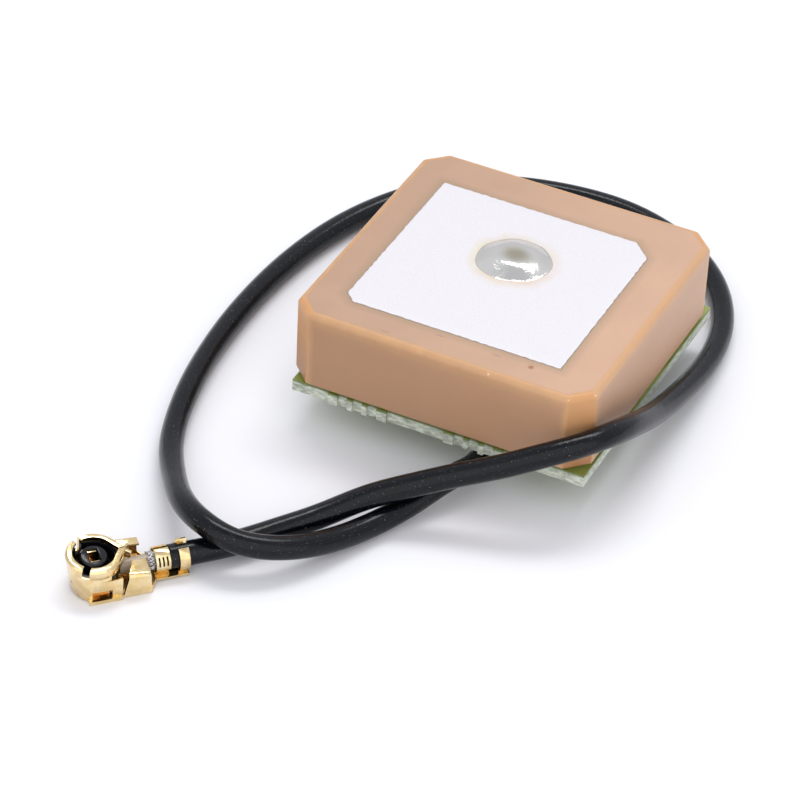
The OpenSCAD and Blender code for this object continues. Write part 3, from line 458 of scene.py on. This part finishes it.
# Painted shade round the patch: an olive grey halo on the ceramic, darkest at the silver's rim
PATCH_X, PATCH_Y, PATCH_CUT, PATCH_TRIM = 10.95, 10.7, 0.95, 0.5
PATCH_AT = np.array([-0.18, -0.28])
half_x, half_y = PATCH_X / 2, PATCH_Y / 2
across = calc(tree, "MULTIPLY_ADD", at["X"], 1 / MM, -PATCH_AT[0])
along = calc(tree, "MULTIPLY_ADD", at["Y"], 1 / MM, -PATCH_AT[1])
slant = calc(tree, "MULTIPLY", calc(tree, "ADD", across, along), math.sqrt(0.5))
cut_at, trim_at = ((half_x + half_y - cut) * math.sqrt(0.5) for cut in (PATCH_CUT, PATCH_TRIM))
past_sides = [calc(tree, "SUBTRACT", calc(tree, "ABSOLUTE", across), half_x),
              calc(tree, "SUBTRACT", calc(tree, "ABSOLUTE", along), half_y),
              calc(tree, "SUBTRACT", slant, cut_at),
              calc(tree, "MULTIPLY_ADD", slant, -1.0, -trim_at)]
beyond = past_sides[0]
for past in past_sides[1:]:
    beyond = calc(tree, "MAXIMUM", beyond, past)
patch_shade_halo = ramp(tree, beyond, (0.0, 0.75), (0.07, 0.35), (0.5, 0.0))
edged = blend_colour(tree, patch_shade_halo, edged, linear(138, 124, 100))
# Three fine hairs that lay along X and burnt into the top
for spot in ((-2.85, -6.94), (-0.52, -6.02), (2.35, -6.1)):
    hair = ramp(tree, calc(tree, "MULTIPLY", away(tree, place, spot, 0.12), 10.0), (0.15, 0.5), (0.4, 0.0))
    edged = blend_colour(tree, hair, edged, linear(120, 92, 84))
tree.links.new(edged, shader.inputs["Base Color"])
shader.inputs["Subsurface Weight"].default_value = 0.12
shader.inputs["Subsurface Radius"].default_value = (1.0, 0.45, 0.22)
shader.inputs["Subsurface Scale"].default_value = 0.5 * MM
relief(tree, shader, fine, 0.01, 0.35)
relief(tree, shader, clouds, 0.03, 0.3)
dress(block, fired_ceramic)
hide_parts("ceramic_block")


# Top electrode
# Silver paste, screen printed on the ceramic and fired: a matte white skin with a fine speckle,
# a few dark pores and a ragged rim. Two opposite corners are cut to tune the patch.
def outline_through(corners, count, soften):
    """Points evenly spaced round a polygon, then averaged over a stretch so that its corners soften."""
    corners = np.asarray(corners, float)
    loop = np.vstack([corners, corners[:1]])
    place = np.concatenate([[0], np.cumsum(np.linalg.norm(np.diff(loop, axis=0), axis=1))])
    s = np.linspace(0, place[-1], count, endpoint=False)
    points = np.stack([np.interp(s, place, loop[:, k]) for k in (0, 1)], -1)
    width = max(1, int(round(soften / place[-1] * count)))
    return np.mean([np.roll(points, k, axis=0) for k in range(-width, width + 1)], axis=0)


def outwards(points):
    """The direction in the plane that points out of a closed outline that runs anticlockwise."""
    along = unit(np.roll(points, -1, axis=0) - np.roll(points, 1, axis=0))
    return np.stack([along[:, 1], -along[:, 0]], -1)


patch_corners = PATCH_AT + np.array([
    [-half_x + PATCH_TRIM, -half_y], [half_x, -half_y], [half_x, half_y - PATCH_CUT],
    [half_x - PATCH_CUT, half_y], [-half_x, half_y], [-half_x, -half_y + PATCH_TRIM]])
patch_low, patch_high = (c.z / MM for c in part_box("top_electrode"))
# The printed line wanders by a hundredth of a millimetre or so, and the paste thins out at its rim
patch_line = outline_through(patch_corners, 1600, 0.05)
s = np.linspace(0, 2 * (PATCH_X + PATCH_Y), len(patch_line))
patch_line = patch_line + outwards(patch_line) * (0.012 * waves(s, 0, 5, 9, 0.6) - 0.01)[:, None]
rim = np.array([0.0, 0.0, 0.006, 0.02, 0.06, 0.5, 2.0, 4.0, 5.3])
rise = np.array([0.0, 0.5, 0.8, 0.95, 1.0, 1.0, 1.0, 1.0, 1.0])
patch_rows = PATCH_AT + (patch_line - PATCH_AT) * (1 - rim / half_y)[:, None, None]
electrode = closed_stack("silver_patch", patch_rows, patch_low + (patch_high - patch_low) * rise)

fired_silver, tree, shader, place = finish_of("fired_silver", metallic=0.25)
speckle = noise(tree, place, 0.07, 4, 0.7)
streaks = noise(tree, place, 0.8, 3)
silver = ramp(tree, speckle, (0.2, linear(202, 199, 202)), (0.55, linear(218, 215, 217)))
pores = ramp(tree, noise(tree, place, 0.09, 2, 0.9), (0.7, 0.0), (0.76, 0.5))
silver = blend_colour(tree, pores, silver, linear(150, 150, 154))
# Flux spread round the solder while it was hot, and dried to an amber film
DOME_AT, DOME_D, DOME_H = np.array([-0.05, 0.9]), 3.5, 0.5
from_dome = away(tree, place, DOME_AT + (0.0, -0.1))
ragged = calc(tree, "MULTIPLY_ADD", noise(tree, place, 0.9, 4, 0.6), 0.9, from_dome)
film = ramp(tree, calc(tree, "MULTIPLY", ragged, 0.25), (0.52, 0.5), (0.6, 0.22), (0.7, 0.0))
patches = noise(tree, place, 2.6, 2)
hue = ramp(tree, patches, (0.4, linear(204, 188, 120)), (0.6, linear(206, 176, 134)))
tree.links.new(blend_colour(tree, film, silver, hue), shader.inputs["Base Color"])
tree.links.new(calc(tree, "MULTIPLY_ADD", streaks, 0.2, 0.42), shader.inputs["Roughness"])
relief(tree, shader, speckle, 0.01, 0.5)
dress(electrode, fired_silver)
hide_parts("top_electrode")
dress(frame["nodes"]["ground_electrode"], fired_silver)


# Feed solder
# The nail's head is soldered to the silver by hand: a low shiny dome that wets the silver
# in an uneven ring, with a pit that the flux left and a film of amber flux round its foot.
dome_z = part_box("feed_solder")[0].z / MM
DOME_RINGS, DOME_SPOKES = 59, 120
r, t = np.meshgrid(np.linspace(0, 1, DOME_RINGS + 1)[1:],
                   np.linspace(0, 2 * np.pi, DOME_SPOKES, endpoint=False), indexing="ij")
edge_r = DOME_D / 2 * (1 + 0.025 * np.sin(2 * t + 1) + 0.018 * np.sin(3 * t + 2.2) + 0.01 * np.sin(7 * t))
x, y = r * edge_r * np.cos(t), r * edge_r * np.sin(t)
# Height: a cap that meets the silver at a low angle, a shallow dish at the pit and slow ripples
cap = (1 - r ** 2.7) ** 1.35
pit = np.exp(-(((x - 0.1) / 0.66) ** 2 + ((y + 0.04) / 0.54) ** 2) ** 1.5)
z = DOME_H * (cap - 0.19 * pit + 0.03 * waves(x, y, 8, 7, 1.5) * (1 - r ** 4))
surface = np.stack([x + DOME_AT[0], y + DOME_AT[1], dome_z + np.maximum(z, 0)], -1).reshape(-1, 3)
middle = [[DOME_AT[0], DOME_AT[1], dome_z + z[0].mean()]]
first = np.arange(DOME_SPOKES)
fan = np.stack([np.full(DOME_SPOKES, len(surface)), first, (first + 1) % DOME_SPOKES], -1)
underside = ((DOME_RINGS - 1) * DOME_SPOKES + first[::-1])[None]
dome = put_mesh("feed_dome", np.concatenate([surface, middle]),
                [band_faces(DOME_RINGS, DOME_SPOKES)[:, ::-1], fan, underside])
paint(dome, "pit", np.append(pit, pit[0].mean()))

bright_solder, tree, shader, place = finish_of("bright_solder", metallic=1.0)
ripple = noise(tree, place, 0.5, 4, 0.6, 0.6)
tree.links.new(calc(tree, "MULTIPLY_ADD", ripple, 0.2, 0.04), shader.inputs["Roughness"])
in_pit = calc(tree, "MULTIPLY", painted(tree, "pit"), 0.7)
tree.links.new(blend_colour(tree, in_pit, linear(216, 215, 209), linear(150, 140, 104)),
               shader.inputs["Base Color"])
relief(tree, shader, ripple, 0.06, 0.5)
dress(dome, bright_solder)
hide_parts("feed_solder")


# Feed pin and the other solder
# The pin is a tinned nail. The same solder holds its tip, the can's feet and the lead's end.
tinned, tree, shader, place = finish_of("tinned_metal", roughness=0.32, metallic=1.0)
relief(tree, shader, noise(tree, place, 0.12, 3), 0.01, 0.4)
# Braid that a barrel grips is painted dark: shade inside the barrel, and flux
tree.links.new(blend_colour(tree, painted(tree, "gripped_shade"), linear(196, 197, 200), linear(36, 30, 22)),
               shader.inputs["Base Color"])
dress(frame["nodes"]["feed_pin"], tinned)
for name in ("pin_solder", "can_solder", "braid_solder", "wire_solder"):
    dress(frame["nodes"][name], bright_solder)


# Circuit board
# Glass-fibre board under a green solder mask. It was broken out of its panel, so two edges carry
# rows of torn tab stubs, and its cut edge shows pale fibres.
board = frame["nodes"]["circuit_board"]
green_board, tree, shader, place = finish_of("green_board")
normal_z = add(tree, "SeparateXYZ", Vector=add(tree, "NewGeometry").outputs["Normal"]).outputs["Z"]
flat = calc(tree, "GREATER_THAN", calc(tree, "ABSOLUTE", normal_z), 0.7)
# The glass lies in layers, so the torn fibres streak along the edge
layers = add(tree, "Mapping", Vector=place, Scale=(0.35, 0.35, 1)).outputs["Vector"]
torn = noise(tree, layers, 0.14, 5, 0.75)
fibre = ramp(tree, torn, (0.32, linear(120, 130, 110)), (0.62, linear(208, 213, 198)))
patches = noise(tree, place, 1.6, 3)
mask = ramp(tree, patches, (0.3, linear(108, 126, 52)), (0.7, linear(146, 158, 78)))
# The mask's own thickness shows as a green line along the top of the cut edge, painted darker as shade
LINE_REACH = 0.25 * MM
board_z = add(tree, "SeparateXYZ", Vector=place).outputs["Z"]
near_top = calc(tree, "MULTIPLY_ADD", board_z, 1 / LINE_REACH, 1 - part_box("circuit_board")[1].z / LINE_REACH)
mask_line_and_shade = ramp(tree, near_top, (0.5, 0.0), (0.75, 0.85))
fibre = blend_colour(tree, mask_line_and_shade, fibre, linear(92, 106, 48))
tree.links.new(blend_colour(tree, flat, fibre, mask), shader.inputs["Base Color"])
tree.links.new(calc(tree, "MULTIPLY_ADD", flat, -0.45, 0.75), shader.inputs["Roughness"])
relief(tree, shader, noise(tree, place, 0.12, 4), 0.02, 0.5)
dress(board, green_board)


# Mounting tape
# Thin dark double-sided tape holds the block on the board.
tape_foam, tree, shader, place = finish_of("tape_foam", linear(52, 50, 36), 0.8)
relief(tree, shader, noise(tree, place, 0.1, 3), 0.02, 0.5)
dress(frame["nodes"]["mounting_tape"], tape_foam)


# Shield can
# Drawn tinplate over the amplifier, soldered to the board by its feet. The module stands on it.
# Rolling left faint lines in the tin, and handling left it cloudy.
tinplate, tree, shader, place = finish_of("tinplate", linear(198, 199, 202), metallic=1.0)
cloud = noise(tree, place, 2.0, 4)
lines = add(tree, "Mapping", Vector=place, Scale=(0.05, 1, 1)).outputs["Vector"]
rolled = noise(tree, lines, 0.06, 3)
tree.links.new(calc(tree, "MULTIPLY_ADD", cloud, 0.25, 0.18), shader.inputs["Roughness"])
relief(tree, shader, rolled, 0.004, 0.5)
dress(frame["nodes"]["shield_can"], tinplate)


# Amplifier parts
# The filter, the amplifier chip, the supply choke and the chip parts are moulded or fired, and sit
# under the can, each soldered face down on the board.
def plain_part(name, colour, roughness, metallic=0.0):
    """A moulded, fired or drawn part with a fine grain."""
    material, tree, shader, place = finish_of(name + "_finish", roughness=roughness, metallic=metallic)
    shade = noise(tree, place, 0.2, 3)
    dark = tuple(0.8 * c for c in colour)
    tree.links.new(ramp(tree, shade, (0.3, dark), (0.7, colour)), shader.inputs["Base Color"])
    relief(tree, shader, shade, 0.008, 0.4)
    dress(frame["nodes"][name], material)


plain_part("band_filter", linear(148, 144, 132), 0.4)
plain_part("amplifier_chip", linear(38, 38, 40), 0.55)
plain_part("supply_choke", linear(108, 112, 120), 0.4)
plain_part("chip_capacitors", linear(184, 165, 138), 0.4)
plain_part("chip_resistors", linear(36, 36, 40), 0.4)


# Bared ends of the lead
# Under the board and in the plug the jacket is stripped, and the pale insulation, the copper
# conductor and the tinned braid come out. The insulation in the plug is darker and browner, as painted shade.
plain_part("lead_core", linear(232, 228, 216), 0.4)
# Painted shade: a darker copy of the lead's insulation
plain_part("plug_core", linear(176, 160, 138), 0.3)
plain_part("lead_wire", linear(196, 140, 92), 0.3, 1.0)
plain_part("plug_wire", linear(196, 140, 92), 0.3, 1.0)
plain_part("lead_braid", linear(196, 197, 200), 0.35, 1.0)


# Plug shell
# One strip of thin phosphor bronze, stamped, folded and gold plated: the spring ring, its base plate,
# two ears folded over the insulation, and two barrels crimped on the braid and on the jacket.
def rounded_copy(node, name, width):
    """A CAD node's mesh with its doubles merged, its flat faces joined, and its edges rounded where
    they are sharper than 30 degrees."""
    mesh = frame["nodes"][node].data.copy()
    mesh.name = name
    shape = bmesh.new()
    shape.from_mesh(mesh)
    bmesh.ops.remove_doubles(shape, verts=shape.verts, dist=0.0005 * MM)
    bmesh.ops.dissolve_limit(shape, angle_limit=math.radians(1), verts=shape.verts, edges=shape.edges)
    bmesh.ops.recalc_face_normals(shape, faces=shape.faces)
    shape.to_mesh(mesh)
    shape.free()
    mesh.shade_smooth()
    piece = bpy.data.objects.new(name, mesh)
    bpy.context.scene.collection.objects.link(piece)
    bevel = piece.modifiers.new("round_edges", "BEVEL")
    bevel.width = width * MM
    bevel.segments = 2
    bevel.limit_method = "ANGLE"
    bevel.angle_limit = math.radians(30)
    bevel.harden_normals = True
    return piece


def from_plug(points):
    """Points of the scene in the plug's own frame: in_plug the other way round."""
    x, y, z = np.moveaxis(np.asarray(points, float) - PLUG_AT, -1, 0)
    x, y = (x * math.cos(PLUG_YAW) + y * math.sin(PLUG_YAW),
            y * math.cos(PLUG_YAW) - x * math.sin(PLUG_YAW))
    y = y + PLUG_BASE_W / 2
    y, z = (y * math.cos(PLUG_ROLL) + z * math.sin(PLUG_ROLL) - PLUG_BASE_W / 2,
            z * math.cos(PLUG_ROLL) - y * math.sin(PLUG_ROLL))
    return np.stack([x, y, z], -1)


shell = rounded_copy("plug_shell", "shell_sheet", 0.016)
shell_x, shell_y, shell_z = from_plug(np.array([v.co for v in shell.data.vertices]) / MM).T
# Inside the folds the gold is painted darker as shade: fully on the lance behind the window, and by half
# under the ears and along the neck
on_lance = (shell_y > -1.05) & (shell_y < -0.7) & (shell_z < 0.7) & (np.abs(shell_x - 0.1) < 0.5)
in_neck = (shell_x > 1.0) & (shell_x < EAR_END + 0.01) & (np.abs(shell_y) < 1.13) & (shell_z < 1.0)
paint(shell, "fold_shade", np.maximum(on_lance, 0.5 * in_neck))
# The crimping marks in the first barrel are painted dark at their bottom as shade, well inside the barrel's
# own face
in_grip = (shell_x > GRIP_START + 0.05) & (shell_x < GRIP_END - 0.05)
paint(shell, "groove_shade", in_grip & (np.hypot(shell_y, shell_z - TAIL_Z) < 0.55))
gold_plate, tree, shader, place = finish_of("gold_plate", metallic=1.0)
bands = noise(tree, place, 0.45, 4)
grain = noise(tree, place, 0.05, 3)
gold = ramp(tree, bands, (0.3, linear(224, 194, 134)), (0.7, linear(240, 220, 176)))
# Painted shade inside the folds
gold = blend_colour(tree, painted(tree, "fold_shade"), gold, linear(200, 150, 90))
# Painted shade at the bottom of the crimp grooves
gold = blend_colour(tree, painted(tree, "groove_shade"), gold, linear(40, 32, 18))
tree.links.new(gold, shader.inputs["Base Color"])
tree.links.new(calc(tree, "MULTIPLY_ADD", bands, 0.16, 0.08), shader.inputs["Roughness"])
relief(tree, shader, grain, 0.005, 0.5)
relief(tree, shader, bands, 0.05, 0.5)
dress(shell, gold_plate)
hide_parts("plug_shell")


# Plug braid
# Fine tinned strands wound both ways over the insulation. The barrel grips their ends,
# and where they leave it they stand off raggedly.
STRANDS, STRAND_D, STRAND_POINTS, STRAND_SIDES = 44, 0.045, 26, 6
BRAID_R, BRAID_TURN, GRIP_FADE = 0.386, 1.5, 0.06
rng = np.random.default_rng(14)
u = np.linspace(0, 1, STRAND_POINTS)[None]
sense = np.where(np.arange(STRANDS) % 2, 1, -1)[:, None]
start = EAR_END + 0.02 + rng.uniform(0, 0.16, (STRANDS, 1))
strand_x = start + (GRIP_END - start) * u
loose = np.clip(1 - (strand_x - EAR_END) / (GRIP_START - EAR_END), 0, 1)
# Angle: even steps round the lead, wound on by BRAID_TURN radians a millimetre, astray where loose
strand_a = (2 * np.pi * np.arange(STRANDS)[:, None] / STRANDS + sense * BRAID_TURN * (strand_x - EAR_END)
            + loose * rng.uniform(-0.5, 0.5, (STRANDS, 1)))
# Radius: over and under in turn by a wave along the lead, and standing off where loose
strand_r = (BRAID_R + 0.018 * np.sin(9 * strand_x + 3 * sense)
            + loose ** 2 * rng.uniform(-0.01, 0.1, (STRANDS, 1)))
strand_path = np.stack([strand_x, strand_r * np.cos(strand_a), TAIL_Z + strand_r * np.sin(strand_a)], -1)
strand_rings = [in_plug(swept(p, STRAND_D / 2, STRAND_SIDES)) for p in strand_path]
strand_end = np.arange(STRAND_SIDES)[None]
strand_faces = []
for i in range(STRANDS):
    first = i * STRAND_POINTS * STRAND_SIDES
    last = first + (STRAND_POINTS - 1) * STRAND_SIDES
    strand_faces += [band_faces(STRAND_POINTS, STRAND_SIDES, first), strand_end[:, ::-1] + first,
                     strand_end + last]
braid = put_mesh("braid_strands", np.concatenate(strand_rings), strand_faces)
# Painted shade: the strands darken where the barrel covers them
gripped_shade = np.clip((strand_x - GRIP_START) / GRIP_FADE, 0, 1)
paint(braid, "gripped_shade", np.repeat(gripped_shade.ravel(), STRAND_SIDES))
dress(braid, tinned)
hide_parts("plug_braid")


# Plug insulator and contact
# A moulded black disc with the post in its middle, and the gold strip whose two blades stand in the
# post's square hole. The lead's inner conductor ends on the strip.
insulator = rounded_copy("plug_insulator", "insulator_disc", 0.03)
black_moulding, tree, shader, place = finish_of("black_moulding", linear(12, 13, 17), 0.12, specular=0.32)
relief(tree, shader, noise(tree, place, 0.3, 3), 0.02, 0.4)
dress(insulator, black_moulding)
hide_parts("plug_insulator")
contact = rounded_copy("plug_contact", "contact_strip", 0.012)
dress(contact, gold_plate)
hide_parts("plug_contact")


# Table and light
# A white sheet that runs on far past what the camera sees, under one long soft lamp, high up and a
# little behind, in a bright room whose front is the brightest.
FLOOR_HALF = 4000
floor = put_mesh("floor", FLOOR_HALF * np.array([[-1, -1, 0], [1, -1, 0], [1, 1, 0], [-1, 1, 0]]),
                 [np.array([[0, 1, 2, 3]])], smooth=False)
paper, tree, shader, place = finish_of("white_paper", (0.82, 0.82, 0.84), 0.7)
floor.data.materials.append(paper)

LAMP_LONG, LAMP_WIDE, LAMP_AWAY, LAMP_WATTS = 0.36, 0.13, 0.5, 1.0
back = Vector((-math.sin(az), math.cos(az), 0))
light = bpy.data.lights.new("softbox", "AREA")
light.shape = "RECTANGLE"
light.size, light.size_y = LAMP_LONG, LAMP_WIDE
light.energy = LAMP_WATTS
softbox = bpy.data.objects.new("softbox", light)
to_lamp = (0.37 * back + Vector((0, 0, 0.92)) + 0.12 * level).normalized()
softbox.matrix_world = Matrix((level, to_lamp.cross(level), to_lamp)).transposed().to_4x4()
softbox.location = LAMP_AWAY * to_lamp
bpy.context.scene.collection.objects.link(softbox)

world = bpy.data.worlds.new("studio")
bpy.context.scene.world = world
world.use_nodes = True
sky = world.node_tree
towards_sky = add(sky, "SeparateXYZ", Vector=add(sky, "TexCoord").outputs["Generated"]).outputs
frontness = calc(sky, "ADD", calc(sky, "MULTIPLY", towards_sky["X"], -back.x),
                 calc(sky, "MULTIPLY", towards_sky["Y"], -back.y))
walls = ramp(sky, towards_sky["Z"], (0.0, linear(180, 180, 186)), (0.6, linear(196, 197, 204)),
             (0.85, linear(196, 197, 204)), (1.0, linear(176, 177, 184)))
front = ramp(sky, frontness, (0.3, 0.0), (0.5, 1.0))
room = blend_colour(sky, front, walls, linear(252, 252, 255))
sky.links.new(room, sky.nodes["Background"].inputs["Color"])
sky.nodes["Background"].inputs["Strength"].default_value = 1.56
bpy.context.scene.view_settings.view_transform = "Standard"
